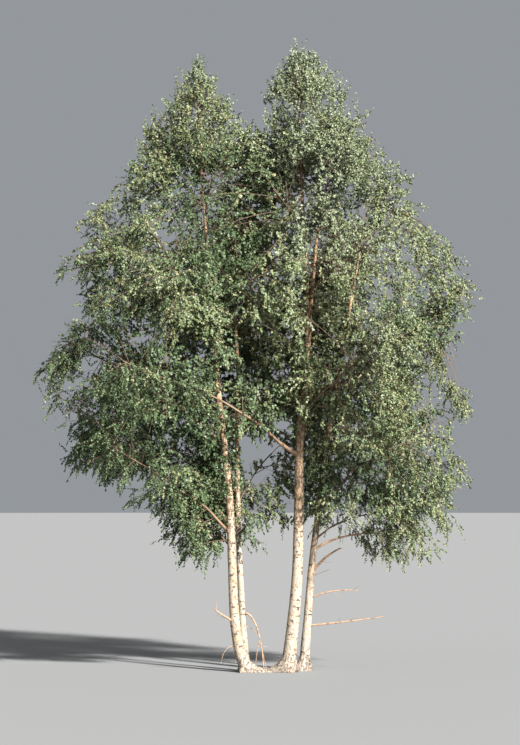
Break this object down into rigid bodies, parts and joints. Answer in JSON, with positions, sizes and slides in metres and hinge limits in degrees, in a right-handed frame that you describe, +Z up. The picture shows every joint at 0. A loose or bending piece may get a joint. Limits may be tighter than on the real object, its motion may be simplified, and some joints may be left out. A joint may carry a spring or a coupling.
{
  "type": "birch tree",
  "caption": "Silver birch clump: pale stems rising from one root, with a tall crown of drooping foliage in full summer leaf.",
  "frame": {"origin": "centre of the flat cut under the main stem, at ground level", "axes": "+Z up along the stems, +X to the right and +Y away, seen from the side of the picture"},
  "size_m": [11.3367, 7.5483, 16],
  "materials": {
    "bark": "pale papery birch bark",
    "bough_bark": "smooth reddish-brown bark",
    "dead_wood": "dry weathered wood",
    "foliage": "small matt green leaves"
  },
  "bodies": {
    "root": {"main_stem": "bark", "right_rear_stem": "bark", "left_front_stem": "bark", "left_rear_stem": "bark", "right_leader": "bark", "long_low_limb": "dead_wood", "rising_low_limb": "dead_wood", "thin_low_limb": "dead_wood", "lowest_limb": "dead_wood", "left_stub": "dead_wood", "hanging_limb": "dead_wood", "left_bough_5": "bough_bark", "left_bough_6": "bough_bark", "left_bough_7": "bough_bark", "left_bough_8": "bough_bark", "left_bough_9": "bough_bark", "left_bough_10": "bough_bark", "left_bough_11": "bough_bark", "left_bough_12": "bough_bark", "left_bough_13": "bough_bark", "right_bough_5": "bough_bark", "right_bough_8": "bough_bark", "right_bough_9": "bough_bark", "right_bough_11": "bough_bark", "right_bough_12": "bough_bark", "right_bough_13": "bough_bark", "left_foliage_1": "foliage", "left_foliage_2": "foliage", "left_foliage_3": "foliage", "left_foliage_4": "foliage", "left_foliage_5": "foliage", "left_foliage_6": "foliage", "left_foliage_7": "foliage", "left_foliage_8": "foliage", "left_foliage_9": "foliage", "left_foliage_10": "foliage", "left_foliage_11": "foliage", "left_foliage_12": "foliage", "left_foliage_13": "foliage", "left_foliage_14": "foliage", "right_foliage_1": "foliage", "right_foliage_2": "foliage", "right_foliage_3": "foliage", "right_foliage_4": "foliage", "right_foliage_5": "foliage", "right_foliage_6": "foliage", "right_foliage_7": "foliage", "right_foliage_8": "foliage", "right_foliage_9": "foliage", "right_foliage_10": "foliage", "right_foliage_11": "foliage", "right_foliage_12": "foliage", "right_foliage_13": "foliage", "middle_foliage_1": "foliage", "middle_foliage_2": "foliage", "middle_foliage_3": "foliage", "middle_foliage_4": "foliage", "middle_foliage_5": "foliage", "middle_foliage_6": "foliage"}
  },
  "joints": []
}
